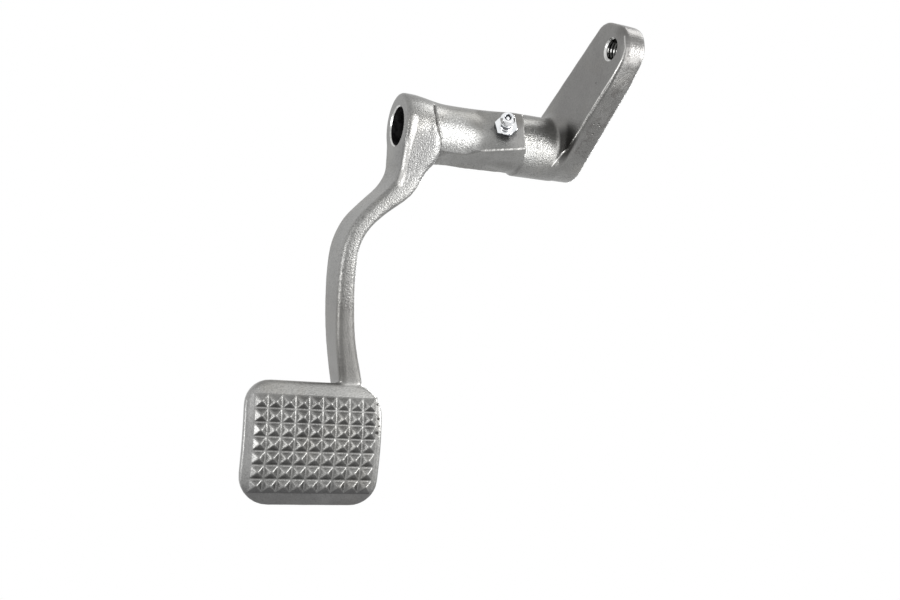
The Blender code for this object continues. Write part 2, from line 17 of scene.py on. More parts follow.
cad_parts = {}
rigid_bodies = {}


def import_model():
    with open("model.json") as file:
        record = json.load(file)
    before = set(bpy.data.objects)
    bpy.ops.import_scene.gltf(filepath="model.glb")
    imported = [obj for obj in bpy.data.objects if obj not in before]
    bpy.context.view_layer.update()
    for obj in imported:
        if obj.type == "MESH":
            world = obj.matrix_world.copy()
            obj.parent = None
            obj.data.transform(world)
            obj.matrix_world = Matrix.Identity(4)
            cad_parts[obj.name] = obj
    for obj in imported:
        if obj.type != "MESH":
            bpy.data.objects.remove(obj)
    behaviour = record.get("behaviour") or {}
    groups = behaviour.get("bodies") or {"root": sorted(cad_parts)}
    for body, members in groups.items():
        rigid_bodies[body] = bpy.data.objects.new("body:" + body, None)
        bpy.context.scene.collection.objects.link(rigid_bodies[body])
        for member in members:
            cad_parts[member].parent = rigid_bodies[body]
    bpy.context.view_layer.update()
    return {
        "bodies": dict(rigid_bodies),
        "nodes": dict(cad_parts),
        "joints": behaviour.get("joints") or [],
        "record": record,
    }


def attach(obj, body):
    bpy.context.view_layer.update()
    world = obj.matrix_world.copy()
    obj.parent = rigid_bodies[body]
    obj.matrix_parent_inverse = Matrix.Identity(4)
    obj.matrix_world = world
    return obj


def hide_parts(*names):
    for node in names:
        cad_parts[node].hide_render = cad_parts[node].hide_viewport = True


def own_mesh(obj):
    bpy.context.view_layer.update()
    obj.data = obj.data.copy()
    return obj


MM = 0.001

# Sizes repeated from the part
BORE_RADIUS = 8.65 * MM
CRANK_OUTER_X = 90.5 * MM
CRANK_INNER_X = 77.0 * MM
CRANK_ANGLE = math.radians(46.0)
CRANK_LEAN = math.radians(3.0)
HOLE_REACH = 59.1 * MM
HOLE_DROP = 1.8 * MM
HOLE_RADIUS = 4.4 * MM
FITTING_X = 46.6 * MM
FITTING_LEAN = math.radians(21.2)
FITTING_RISE = math.radians(20.0)
FLAT_RADIUS = 15.4 * MM
FLAT_ANGLE = math.radians(15.8)
GREASE_WAY_RADIUS = 1.5 * MM
PAD_CENTRE = (-27.3 * MM, -11.3 * MM, -142.1 * MM)
PAD_TURN = Euler((math.radians(-7.0), math.radians(0.7), math.radians(-2.7)))
PAD_CROWN_RADIUS = 66.8 * MM
FIELD_STEP = 0.1 * MM
STUD_PITCH = 6.0 * MM
STUD_COLUMNS = 9
STUD_ROWS = 7
STUD_HEIGHT = 2.35 * MM
STUD_TIP = 0.5 * MM
STUD_VALLEY = 0.55 * MM
HEX_FLATS = 9.3 * MM
HEX_HEIGHT = 3.5 * MM
HEAD_RADIUS = 3.25 * MM
NECK_RADIUS = 2.4 * MM
HEAD_TOP = 11.25 * MM
MOUTH_RADIUS = 1.2 * MM
BALL_RADIUS = 1.4 * MM
BALL_CENTRE = 9.5 * MM

# The middle of the crank's hole, and where the leaning inner face is beside it
HOLE_Y = -HOLE_REACH * math.cos(CRANK_ANGLE) - HOLE_DROP * math.sin(CRANK_ANGLE)
HOLE_Z = HOLE_REACH * math.sin(CRANK_ANGLE) - HOLE_DROP * math.cos(CRANK_ANGLE)
HOLE_INNER_X = CRANK_INNER_X + HOLE_REACH * math.tan(CRANK_LEAN)

# Skin of the casting: the remesh, then rounds of smoothing and how hard blended places are pulled
VOXEL = 0.62 * MM
SOFTENING = 3
BLEND_PULL = 0.6

# Solids that fill the holes before the remesh
BORE_PLUG = 9.4 * MM
HOLE_PLUG = 5.3 * MM
SEAT_PLUG = 4.3 * MM
SEAT_PLUG_DEPTH = 9.0 * MM

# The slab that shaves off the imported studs: its margin round them, its height, and what it leaves
SHAVER_MARGIN = 0.3 * MM
SHAVER_HEIGHT = 4.0 * MM
SHAVER_GAP = 0.02 * MM

# Cutters: the holes right through, from their near end to the crank's outer face, and the seat
Hole = namedtuple("Hole", "slot y z radius near chamfer steps")
CAST_SLOT, BORE_SLOT, HOLE_SLOT, CHAMFER_SLOT = range(4)
BORE = Hole(BORE_SLOT, 0.0, 0.0, BORE_RADIUS, 0.0, 0.55 * MM, 120)
CRANK_HOLE = Hole(HOLE_SLOT, HOLE_Y, HOLE_Z, HOLE_RADIUS, HOLE_INNER_X, 0.75 * MM, 72)
CUT_PAST = 2.0 * MM
SEAT_RADIUS = 3.63 * MM
SEAT_PAST = 3.0 * MM
SEAT_DEPTH = 4.75 * MM
SEAT_CONE_DEPTH = 5.2 * MM
GREASE_WAY_DEPTH = 9.7 * MM

# Faces that count as a hole's wall, and as its chamfer with the least and greatest slope
WALL_GAP = 0.02 * MM
WALL_END = 0.5 * MM
CHAMFER_GAP = 0.8 * MM
CHAMFER_SLOPES = (0.5, 0.9)

# Lines on the casting: the crease between hub and barrel, and where the boss's flat fades out
HUB_CREASE = (
    (13.6, -8.4, 10.2),
    (12.9, -11.0, 7.0),
    (13.7, -12.9, 2.4),
    (15.1, -12.9, -0.7),
    (16.6, -12.1, -4.1),
    (17.5, -10.2, -7.7),
    (18.0, -6.2, -11.2),
)
FLAT_FADE = ((40.5, -7.5, 10.5), (38.5, -11.0, 5.0), (35.5, -12.3, 0.0), (33.5, -12.4, -5.0))

# The rounded right edge of the hub and upper arm
HUB_EDGE = (
    (15.8, -13.5, -6.5),
    (15.6, -13.2, -9.6),
    (14.8, -12.7, -14.1),
    (12.7, -12.4, -16.9),
    (10.0, -12.1, -19.2),
    (5.9, -11.8, -24.8),
    (1.9, -11.6, -30.7),
    (-6.4, -11.1, -39.8),
)

# Where the arm's two sides meet the back of the pad
ARM_FOOT_RIGHT = ((-4.8, 0.5, -118.2), (-4.1, -2.4, -125.0), (-4.6, -3.6, -129.0), (-5.5, -7.6, -150.0))
ARM_FOOT_LEFT = ((-15.7, 1.5, -117.8), (-13.6, -2.0, -125.0), (-12.6, -3.2, -129.0), (-11.5, -7.4, -150.0))

# Where the skin is evened out: the line, how far from it, and in how many rounds
BLENDS = (
    (FLAT_FADE, 5.5 * MM, 60),
    (HUB_EDGE, 3.2 * MM, 30),
    (ARM_FOOT_RIGHT, 4.0 * MM, 40),
    (ARM_FOOT_LEFT, 4.0 * MM, 40),
)

# The thin raised line along the crank's front edge, and the edges of the boss's flat and the hub; all
# three carry painted highlights
CRANK_RIDGE = (
    (80.6, -51.6, 45.2),
    (80.4, -53.3, 40.0),
    (80.2, -51.8, 35.4),
    (79.8, -47.4, 29.6),
    (79.4, -41.1, 23.3),
    (78.7, -31.9, 13.6),
    (78.0, -23.0, 4.0),
    (77.6, -15.2, -2.4),
    (75.7, -14.3, -5.9),
    (73.9, -12.0, -9.6),
)
FLAT_EDGES = ((54.5, -15.3, 11.7), (54.9, -21.4, -4.4), (36.0, -14.7, -7.5))
HUB_RIDGE = (
    (3.3, -14.6, 3.0),
    (2.8, -14.6, -3.0),
    (2.0, -13.6, -7.5),
    (1.6, -12.8, -11.5),
    (1.1, -12.2, -16.0),
    (0.7, -11.9, -21.0),
    (0.0, -11.7, -26.0),
)
CREASE_DEPTH = 0.5 * MM
CREASE_WIDTH = 0.55 * MM
RIDGE_HEIGHT = 0.22 * MM
RIDGE_WIDTH = 0.5 * MM

# The way that the boss's underside faces, and its distance from the pivot axis at each x
UNDERSIDE = (0.0, -0.42, -0.9075)
UNDERSIDE_LEVELS = (
    (19.0, 13.2),
    (20.5, 12.75),
    (22.5, 12.3),
    (26.0, 12.0),
    (31.0, 12.1),
    (43.0, 13.06),
)

# The field of pyramids: grid steps per stud and past the edge, how far the edge and the whole
# grid are sunk, the rim's depth, how uneven the studs are, and how their tips are blunted
FIELD_STEPS = 20
FIELD_MARGIN = 2
FIELD_EDGE_SINK = 0.25 * MM
FIELD_SINK = 0.04 * MM
FIELD_RIM = 0.8 * MM
STUD_UNEVEN = 0.04
STUD_BLUNT_FROM = 0.9
STUD_BLUNT_SPREAD = 0.1
STUD_BLUNT_RISE = 0.3
FIELD_SOFTENING = 0.35
# How far a stud's face must turn down and toward the front to get the painted shade
PAINTED_SHADE_FACING = -0.3

# The grease fitting's hexagon and thread
HEX_TURN = math.radians(18)
HEX_CROWN = 0.02 * MM
HEX_CHAMFER = 0.1 * MM
HEX_CHAMFER_SLOPE = 0.5
HEX_CLEAR = 0.4 * MM
HEX_FOOT = 0.35 * MM
THREAD_TOP = -0.3 * MM
THREAD_END = -4.4 * MM
THREAD_PITCH = 0.5 * MM
THREAD_TURNS = 8
THREAD_CREST = 3.58 * MM
THREAD_ROOT = 3.05 * MM
SHANK_RADIUS = 3.0 * MM
CHAMBER_RADIUS = 1.72 * MM
MOUTH_EDGE = 1.62 * MM
FITTING_BEVEL = 0.09 * MM

# Which faces of the fitting get a painted shade: how far down a flank or a chamfer of the hexagon
# faces, which slopes those are, how far out they lie, and where the neck and the mouth's ring are
FLANK_FACING = 0.3
CHAMFER_FACING = -0.1
FLANK_SLOPE = 0.35
CHAMFER_SLOPE = 0.9
FLANK_RADIUS = 3.6 * MM
FLANK_TOP = HEX_HEIGHT - 0.02 * MM
SHADED_NECK_RADIUS = NECK_RADIUS + 0.25 * MM
SHADED_NECK_TOP = HEAD_TOP - 4.6 * MM
SHADED_RING = (1.15 * MM, 1.6 * MM)
SHADED_RING_HEIGHTS = (HEAD_TOP - 0.6 * MM, HEAD_TOP - 0.1 * MM)

# Zones of the casting's surface, as balls: the middle, and the distances from it within which
# the zone is full and beyond which it has faded out
ZONES = {
    "crank": (80, -33, 22, 26, 42),
    "crank_nose_highlight": (85, -54.5, 39, 2, 8),
    "crank_tip_shade": (84, -50, 48.5, 3, 8),
    "corner": (77.3, -16.5, 2, 4, 11),
    "boss": (64, -14, -3, 6, 13),
    "boss_top_shade": (64, -9, 12, 5, 11),
    "flat": (52.5, -19, 1, 3, 8),
    "barrel": (25, -12, -4, 6, 13),
    "hub": (7, -14, -8, 12, 22),
    "hub_foot_shade": (9, -13, -14, 8, 16),
}

# Zones between two places along x or z: where each starts, is full, fades and ends. After them,
# zones that have only a far side: where each fades and ends.
CORNER_BAND = (74.6, 75.8, 78.6, 79.8)
ARM_BAND = (-88, -78, -16, -10)
LOW_ARM_BAND = (-118, -112, -85, -60)
PAD_FADE = (-116, -108)
PAD_LEFT_FADE = (-55, -51)
PAD_LOW_FADE = (-164, -157)
GRAIN_FADE = (5, 9)

# Where the crank's edge face starts, and where the barrel's painted highlight ends at its underside
CRANK_EDGE_START = (80.5, 82)
UNDERSIDE_FADE = (11.75, 12.0)

# Colours of the casting: two greys of the clouded steel, its warm patches, and then what each
# zone mixes in, in this order, with how much of it
STEEL_DARK = (0.224, 0.223, 0.217)
STEEL_PALE = (0.286, 0.285, 0.277)
STEEL_WARM = (0.262, 0.25, 0.225)
ZONE_COLOURS = (
    # Painted shade over the crank
    ("crank", 0.36, (0.125, 0.12, 0.117)),
    # Painted shade on the lower arm
    ("low_arm_shade", 0.4, (0.13, 0.122, 0.112)),
    # Painted shade under the hub
    ("hub_foot_shade", 0.3, (0.13, 0.13, 0.134)),
    # Painted shade and the crank's reflection on the top of the boss's cylinder
    ("boss_top_shade", 0.4, (0.12, 0.119, 0.112)),
    # Painted highlight on the front of the barrel
    ("barrel", 0.85, (0.50, 0.50, 0.49)),
    # Painted highlight on the front of the boss's cylinder
    ("boss", 0.35, (0.42, 0.42, 0.41)),
    # Painted highlight on the crank's nose
    ("crank_nose_highlight", 0.45, (0.42, 0.41, 0.40)),
    # Painted highlight on the right of the boss's flat
    ("flat", 0.7, (0.40, 0.395, 0.385)),
    # Painted highlight on the pad's left border
    ("pad_left_highlight", 0.3, (0.42, 0.42, 0.42)),
    # Painted shade on the pad's lower border
    ("pad_low_shade", 0.4, (0.09, 0.09, 0.096)),
    ("crank_scale", 0.5, (0.10, 0.092, 0.088)),
    # Painted shade on the top of the crank's tip
    ("crank_tip_shade", 0.6, (0.12, 0.115, 0.11)),
    # Painted shade in the corner between the barrel and the crank
    ("corner", 0.9, (0.03, 0.029, 0.027)),
)
SPECK = (0.10, 0.10, 0.10)
# Painted shade in the floors of the pits and nicks
PIT_SHADE = (0.03, 0.028, 0.027)
# Painted shade along the crease between hub and barrel
CREASE_SHADE = (0.05, 0.048, 0.045)
# Painted highlight along the crank's ridge and the edges of the flat and the hub
EDGE_HIGHLIGHT = (0.78, 0.77, 0.75)
# Painted shade for the studs' lower flanks: its colour, and how much of it
PAINTED_SHADE_COLOUR = (0.05, 0.049, 0.051)
STUD_PAINTED_SHADE = 0.5

# Nicks on the pad's border, across and up from its centre with their size, and pits on the
# crank's inner face
PAD_NICKS = ((27.5, 18.6, 0.5), (27.8, 12.4, 0.55), (27.4, 6.2, 0.7), (28.3, 9.0, 0.35))
CRANK_PITS = ((79.3, -34.4, 27.4, 0.35), (79.2, -38.9, 21.6, 0.6))

# The camera, fitted to the photograph
LENS = 37.011
SENSOR = 36.0
CAMERA_PLACE = (-137.448 * MM, -393.996 * MM, -53.428 * MM)
CAMERA_TURN = Euler((math.radians(87.0051), math.radians(-5.5928), math.radians(-23.2291)))

# The studio: each lamp's name, aim, elevation, azimuth, distance, size and watts. Azimuth 0 is
# in front of the pad and 90 on the crank's side. The floor turns white between two distances
# from a place below the pedal.
MIDDLE = (0.02, 0.0, -0.05)
BARREL = (0.03, -0.01, 0.0)
LAMPS = (
    ("right", MIDDLE, 12, 55, 0.5, 0.2, 2.1),
    ("back_right", MIDDLE, 12, 130, 0.5, 0.2, 2.2),
    ("low_front", MIDDLE, -28, 32, 0.5, 0.2, 0.2),
    ("left", MIDDLE, -8, -80, 0.5, 0.2, 0.9),
    ("top", MIDDLE, 55, 90, 0.5, 0.2, 0.57),
    ("near_front", BARREL, 5, 5, 0.2, 0.1, 0.08),
    ("near_low", BARREL, -20, 30, 0.2, 0.1, 0.09),
)
WORLD_LIGHT = 0.5
WHITE = (1.0, 1.0, 1.0, 1.0)
FLOOR_Z = -0.42
FLOOR_SIZE = 6.0
FLOOR_GREY = (0.62, 0.62, 0.62, 1.0)
FLOOR_MIDDLE = (0.0, -0.15, FLOOR_Z)
FLOOR_FADE = (0.34, 0.56)


# Placing

def fitting_frame():
    """Z out along the grease fitting's axis, origin on the boss's flat."""
    side = math.cos(FITTING_LEAN)
    axis = Vector(
        (
            -math.sin(FITTING_LEAN),
            -side * math.cos(FITTING_RISE),
            side * math.sin(FITTING_RISE),
        )
    )
    seat = Vector(
        (FITTING_X, -FLAT_RADIUS * math.cos(FLAT_ANGLE), FLAT_RADIUS * math.sin(FLAT_ANGLE))
    )
    across = axis.cross(Vector((0, 0, 1))).normalized()
    up = axis.cross(across)
    frame = Matrix((across, up, axis)).transposed().to_4x4()
    return Matrix.Translation(seat) @ frame


def pad_frame():
    return Matrix.Translation(PAD_CENTRE) @ PAD_TURN.to_matrix().to_4x4()


def along_pivot(y=0.0, z=0.0):
    """Turns Z to lie along the pivot axis, or beside it at y and z."""
    return Matrix.Translation((0.0, y, z)) @ Matrix.Rotation(math.radians(90), 4, "Y")


# Mesh helpers

def new_object(name, mesh, matrix=None):
    """An object at the origin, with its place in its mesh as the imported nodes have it."""
    if matrix is not None:
        mesh.transform(matrix)
    obj = bpy.data.objects.new(name, mesh)
    bpy.context.scene.collection.objects.link(obj)
    return obj


def mesh_of(name, bm):
    bmesh.ops.recalc_face_normals(bm, faces=bm.faces)
    mesh = bpy.data.meshes.new(name)
    bm.to_mesh(mesh)
    bm.free()
    return mesh


def turned_mesh(name, profile, steps):
    """A closed solid of revolution from (radius, height) points down its side."""
    bm = bmesh.new()
    rings = []
    for radius, height in profile:
        if radius < 1e-7:
            rings.append([bm.verts.new((0, 0, height))])
            continue
        ring = []
        for i in range(steps):
            angle = 2 * math.pi * i / steps
            ring.append(bm.verts.new((radius * math.cos(angle), radius * math.sin(angle), height)))
        rings.append(ring)
    for above, below in zip(rings, rings[1:]):
        for i in range(steps):
            j = (i + 1) % steps
            if len(above) == 1:
                bm.faces.new((above[0], below[i], below[j]))
            elif len(below) == 1:
                bm.faces.new((above[j], above[i], below[0]))
            else:
                bm.faces.new((above[i], below[i], below[j], above[j]))
    return mesh_of(name, bm)


def apply_modifiers(obj):
    graph = bpy.context.evaluated_depsgraph_get()
    mesh = bpy.data.meshes.new_from_object(obj.evaluated_get(graph))
    old = obj.data
    obj.modifiers.clear()
    obj.data = mesh
    bpy.data.meshes.remove(old)


def combine(obj, tool, operation="DIFFERENCE", solver="EXACT"):
    """Cuts the tool out of the object, joins it on or keeps what both share; the tool is used up."""
    modifier = obj.modifiers.new("combine", "BOOLEAN")
    modifier.operation = operation
    modifier.object = tool
    modifier.solver = solver
    apply_modifiers(obj)
    bpy.data.objects.remove(tool)


def smooth_shading(obj, degrees):
    obj.data.shade_smooth()
    obj.data.set_sharp_from_angle(angle=math.radians(degrees))


def set_materials(obj, *materials):
    obj.data.materials.clear()
    for material in materials:
        obj.data.materials.append(material)


def rows(items, kind):
    """One row of three numbers for each vertex or face."""
    values = np.empty(len(items) * 3)
    items.foreach_get(kind, values)
    return values.reshape(-1, 3)


def set_slots(mesh, slots):
    mesh.polygons.foreach_set("material_index", slots.astype(np.int32))


def set_points(mesh, points):
    mesh.vertices.foreach_set("co", points.ravel())
    mesh.update()


# The casting

def crowned(v):
    """How far the pad's crown lies behind its middle, at a height v from it."""
    return v * v / (2 * PAD_CROWN_RADIUS)


def bent_box(name, half_u, half_v, front, back):
    """A slab that follows the pad's crown."""
    bm = bmesh.new()
    steps = 28
    sections = []
    for j in range(steps + 1):
        v = half_v * (2 * j / steps - 1)
        lift = crowned(v)
        corners = ((-half_u, front), (half_u, front), (half_u, back), (-half_u, back))
        sections.append([bm.verts.new((u, y + lift, v)) for u, y in corners])
    for a, b in zip(sections, sections[1:]):
        for i in range(4):
            j = (i + 1) % 4
            bm.faces.new((a[i], a[j], b[j], b[i]))
    bm.faces.new(sections[0])
    bm.faces.new(sections[-1])
    return new_object(name, mesh_of(name, bm), pad_frame())


def plug(radius, top, bottom, steps, matrix):
    profile = [(0, top), (radius, top), (radius, bottom), (0, bottom)]
    mesh = turned_mesh("plug", profile, steps)
    mesh.transform(matrix)
    return mesh


def filled_body(node):
    """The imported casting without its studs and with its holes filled, for one even skin."""
    bare = new_object("bare", node.data.copy())
    half_u = STUD_COLUMNS * STUD_PITCH / 2 + SHAVER_MARGIN
    half_v = STUD_ROWS * STUD_PITCH / 2 + SHAVER_MARGIN
    combine(bare, bent_box("shaver", half_u, half_v, -SHAVER_HEIGHT, FIELD_STEP - SHAVER_GAP))
    bm = bmesh.new()
    bm.from_mesh(bare.data)
    bpy.data.objects.remove(bare)
    bm.from_mesh(plug(BORE_PLUG, CRANK_OUTER_X, 0.0, 64, along_pivot()))
    bm.from_mesh(plug(HOLE_PLUG, CRANK_OUTER_X, HOLE_INNER_X, 48, along_pivot(HOLE_Y, HOLE_Z)))
    bm.from_mesh(plug(SEAT_PLUG, 0.0, -SEAT_PLUG_DEPTH, 48, fitting_frame()))
    mesh = bpy.data.meshes.new("casting_body")
    bm.to_mesh(mesh)
    bm.free()
    return new_object("casting_body", mesh)


def line_distance(points, line):
    """Distance of each point from a line of (x, y, z) corners."""
    best = np.full(len(points), np.inf)
    for a, b in zip(line, line[1:]):
        ab = b - a
        t = np.clip(((points - a) @ ab) / (ab @ ab), 0.0, 1.0)
        gap = np.linalg.norm(points - (a + t[:, None] * ab), axis=1)
        best = np.minimum(best, gap)
    return best


def blend_surface(obj, line, reach, rounds):
    """Evens out the surface round a line, fading to nothing at the given distance."""
    mesh = obj.data
    points = rows(mesh.vertices, "co")
    edges = np.empty(len(mesh.edges) * 2, np.int64)
    mesh.edges.foreach_get("vertices", edges)
    edges = edges.reshape(-1, 2)
    gap = line_distance(points, np.array(line) * MM)
    weight = np.clip(1.0 - gap / reach, 0.0, 1.0)
    weight = (weight * weight * (3 - 2 * weight))[:, None]
    close = (weight[edges[:, 0], 0] > 0) | (weight[edges[:, 1], 0] > 0)
    edges = edges[close]
    count = np.bincount(edges.ravel(), minlength=len(points))[:, None]
    for _ in range(rounds):
        total = np.zeros_like(points)
        np.add.at(total, edges[:, 0], points[edges[:, 1]])
        np.add.at(total, edges[:, 1], points[edges[:, 0]])
        mean = total / np.maximum(count, 1)
        points = points + BLEND_PULL * weight * np.where(count > 0, mean - points, 0.0)
    set_points(mesh, points)


def on_surface(obj, line, depth=0.0):
    """The line's corners (in millimetres) moved to the surface, or below it by a depth."""
    places = []
    for corner in line:
        _, place, normal, _ = obj.closest_point_on_mesh(Vector(corner) * MM)
        places.append(tuple(place - normal * depth))
    return places


def carve(obj, line, depth, width):
    """Presses a soft groove along a line on the surface, or raises it where depth is negative."""
    mesh = obj.data
    points = rows(mesh.vertices, "co")
    normals = rows(mesh.vertices, "normal")
    gap = line_distance(points, np.array(line))
    points -= normals * (depth * np.exp(-((gap / width) ** 2)))[:, None]
    set_points(mesh, points)


def press_underside(obj):
    """Carries the boss's flat underside on along the barrel, to an edge that runs out at the hub."""
    mesh = obj.data
    points = rows(mesh.vertices, "co")
    down = np.array(UNDERSIDE)
    x = points[:, 0] / MM
    level = np.interp(x, *zip(*UNDERSIDE_LEVELS)) * MM
    over = np.maximum(points @ down - level, 0.0)
    over[(x < UNDERSIDE_LEVELS[0][0]) | (x > UNDERSIDE_LEVELS[-1][0])] = 0.0
    points -= over[:, None] * down
    set_points(mesh, points)


def make_body(node):
    """The casting's skin without its holes, and the lines on it that the material follows."""
    body = filled_body(node)
    remesh = body.modifiers.new("skin", "REMESH")
    remesh.mode = "VOXEL"
    remesh.voxel_size = VOXEL
    remesh.adaptivity = 0.0
    soften = body.modifiers.new("soften", "SMOOTH")
    soften.factor = 0.5
    soften.iterations = SOFTENING
    apply_modifiers(body)
    for line, reach, rounds in BLENDS:
        blend_surface(body, line, reach, rounds)
    press_underside(body)
    marks = {
        "crease": on_surface(body, HUB_CREASE, CREASE_DEPTH),
        "ridge": on_surface(body, CRANK_RIDGE, -RIDGE_HEIGHT),
        "flat": on_surface(body, FLAT_EDGES),
        "hub": on_surface(body, HUB_RIDGE),
    }
    carve(body, on_surface(body, HUB_CREASE), CREASE_DEPTH, CREASE_WIDTH)
    carve(body, on_surface(body, CRANK_RIDGE), -RIDGE_HEIGHT, RIDGE_WIDTH)
    return body, marks


def hole_tool(hole):
    """What is cut for a hole right through, with a chamfer at both ends."""
    far, near = CRANK_OUTER_X, hole.near
    wide = hole.radius + hole.chamfer + CUT_PAST
    profile = [
        (0.0, far + CUT_PAST),
        (wide, far + CUT_PAST),
        (hole.radius, far - hole.chamfer),
        (hole.radius, near + hole.chamfer),
        (wide, near - CUT_PAST),
        (0.0, near - CUT_PAST),
    ]
    mesh = turned_mesh("hole_tool", profile, hole.steps)
    return new_object("hole_tool", mesh, along_pivot(hole.y, hole.z))


def seat_tool():
    """What is cut for the fitting's shank and the grease way under it."""
    profile = [
        (0.0, SEAT_PAST),
        (SEAT_RADIUS, SEAT_PAST),
        (SEAT_RADIUS, -SEAT_DEPTH),
        (GREASE_WAY_RADIUS, -SEAT_CONE_DEPTH),
        (GREASE_WAY_RADIUS, -GREASE_WAY_DEPTH),
        (0.0, -GREASE_WAY_DEPTH),
    ]
    return new_object("seat_tool", turned_mesh("seat_tool", profile, 48), fitting_frame())


def mark_faces(mesh):
    """Gives the holes' walls and chamfers slots of their own."""
    centre = rows(mesh.polygons, "center")
    slope = np.abs(rows(mesh.polygons, "normal")[:, 0])
    low, high = CHAMFER_SLOPES
    slots = np.full(len(centre), CAST_SLOT)
    for hole in (BORE, CRANK_HOLE):
        gap = np.hypot(centre[:, 1] - hole.y, centre[:, 2] - hole.z) - hole.radius
        slots[(gap > 0) & (gap < CHAMFER_GAP) & (slope > low) & (slope < high)] = CHAMFER_SLOT
        inside = (centre[:, 0] > hole.near + WALL_END) & (centre[:, 0] < CRANK_OUTER_X - WALL_END)
        slots[(gap < WALL_GAP) & inside] = hole.slot
    set_slots(mesh, slots)


def make_casting(body, steel):
    """Cuts the holes into the skin and gives each face its material."""
    body.name = "casting_surface"
    for tool in (hole_tool(BORE), hole_tool(CRANK_HOLE), seat_tool()):
        combine(body, tool, solver="MANIFOLD")
    set_materials(body, steel, bore_shade_material(), hole_material(), chamfer_material())
    mark_faces(body.data)
    smooth_shading(body, 40)
    return body


# The studs

def uneven_studs():
    """How far each stud leans across and up, and how pointed it is."""
    rng = random.Random(7)
    studs = {}
    for i in range(STUD_COLUMNS):
        for j in range(STUD_ROWS):
            lean_u = rng.uniform(-STUD_UNEVEN, STUD_UNEVEN)
            lean_v = rng.uniform(-STUD_UNEVEN, STUD_UNEVEN)
            studs[i, j] = (lean_u, lean_v, rng.random())
    return studs


def field_height(u, v, studs):
    """The field's height at a point, measured from its lower left corner."""
    if not (0 <= u <= STUD_COLUMNS * STUD_PITCH and 0 <= v <= STUD_ROWS * STUD_PITCH):
        return -FIELD_EDGE_SINK
    i = min(int(u / STUD_PITCH), STUD_COLUMNS - 1)
    j = min(int(v / STUD_PITCH), STUD_ROWS - 1)
    lean_u, lean_v, point = studs[i, j]
    u -= i * STUD_PITCH
    v -= j * STUD_PITCH
    offset = min(
        u * (1 + lean_u),
        (STUD_PITCH - u) * (1 - lean_u),
        v * (1 + lean_v),
        (STUD_PITCH - v) * (1 - lean_v),
    )
    rise = (offset - STUD_VALLEY / 2) / ((STUD_PITCH - STUD_TIP - STUD_VALLEY) / 2)
    rise = min(1.0, max(0.0, rise))
    blunt = STUD_BLUNT_FROM + STUD_BLUNT_SPREAD * point
    if rise >= blunt:
        rise = blunt + STUD_BLUNT_RISE * (rise - blunt)
    return STUD_HEIGHT * rise


def field_grid(columns, lines):
    """Heights over the whole field, with softened valleys and tips."""
    step = STUD_PITCH / FIELD_STEPS
    studs = uneven_studs()
    heights = np.array(
        [
            [
                field_height((a - FIELD_MARGIN) * step, (b - FIELD_MARGIN) * step, studs)
                for a in range(columns + 1)
            ]
            for b in range(lines + 1)
        ]
    )
    for _ in range(2):
        core = heights[1:-1, 1:-1]
        around = heights[:-2, 1:-1] + heights[2:, 1:-1] + heights[1:-1, :-2] + heights[1:-1, 2:]
        heights[1:-1, 1:-1] = (1 - FIELD_SOFTENING) * core + FIELD_SOFTENING * around / 4
    return heights


def make_field(steel, shaded_steel):
    """The field of cast pyramids, each a little uneven, with a painted shade on its lower flank."""
    columns = STUD_COLUMNS * FIELD_STEPS + 2 * FIELD_MARGIN
    lines = STUD_ROWS * FIELD_STEPS + 2 * FIELD_MARGIN
    step = STUD_PITCH / FIELD_STEPS
    heights = field_grid(columns, lines)
    bm = bmesh.new()
    grid = []
    for b in range(lines + 1):
        v = (b - FIELD_MARGIN) * step - STUD_ROWS * STUD_PITCH / 2
        line = []
        for a in range(columns + 1):
            u = (a - FIELD_MARGIN) * step - STUD_COLUMNS * STUD_PITCH / 2
            line.append(bm.verts.new((u, crowned(v) - heights[b, a] - FIELD_SINK, v)))
        grid.append(line)
    for b in range(lines):
        for a in range(columns):
            bm.faces.new((grid[b][a], grid[b][a + 1], grid[b + 1][a + 1], grid[b + 1][a]))
    edges = [edge for edge in bm.edges if edge.is_boundary]
    grown = bmesh.ops.extrude_edge_only(bm, edges=edges)
    for item in grown["geom"]:
        if isinstance(item, bmesh.types.BMVert):
            item.co.y += FIELD_RIM
    bmesh.ops.contextual_create(bm, geom=[edge for edge in bm.edges if edge.is_boundary])
    field = new_object("stud_field", mesh_of("stud_field", bm), pad_frame())
    set_materials(field, steel, shaded_steel)
    normal = rows(field.data.polygons, "normal")
    # Faces that turn down and toward the front get the painted shade
    set_slots(field.data, (normal[:, 2] < PAINTED_SHADE_FACING) & (normal[:, 1] < PAINTED_SHADE_FACING))
    smooth_shading(field, 50)
    return field


# The grease fitting

def hexagon_solid():
    """The hexagon with its turned chamfers."""
    corner = HEX_FLATS / math.sqrt(3)
    bm = bmesh.new()
    bmesh.ops.create_cone(
        bm, cap_ends=True, segments=6, radius1=corner, radius2=corner, depth=HEX_HEIGHT
    )
    matrix = Matrix.Translation((0, 0, HEX_HEIGHT / 2)) @ Matrix.Rotation(HEX_TURN, 4, "Z")
    hexagon = new_object("hexagon", mesh_of("hexagon", bm), matrix)
    rim = HEX_FLATS / 2 + HEX_CROWN
    flat = rim - HEX_CHAMFER
    out = corner + HEX_CLEAR
    crown = [
        (0.0, HEX_HEIGHT),
        (flat, HEX_HEIGHT),
        (out, HEX_HEIGHT - (out - flat) * HEX_CHAMFER_SLOPE),
        (out, HEX_FOOT),
        (rim, 0.0),
        (0.0, 0.0),
    ]
    combine(hexagon, new_object("crown", turned_mesh("crown", crown, 96)), "INTERSECT")
    return hexagon


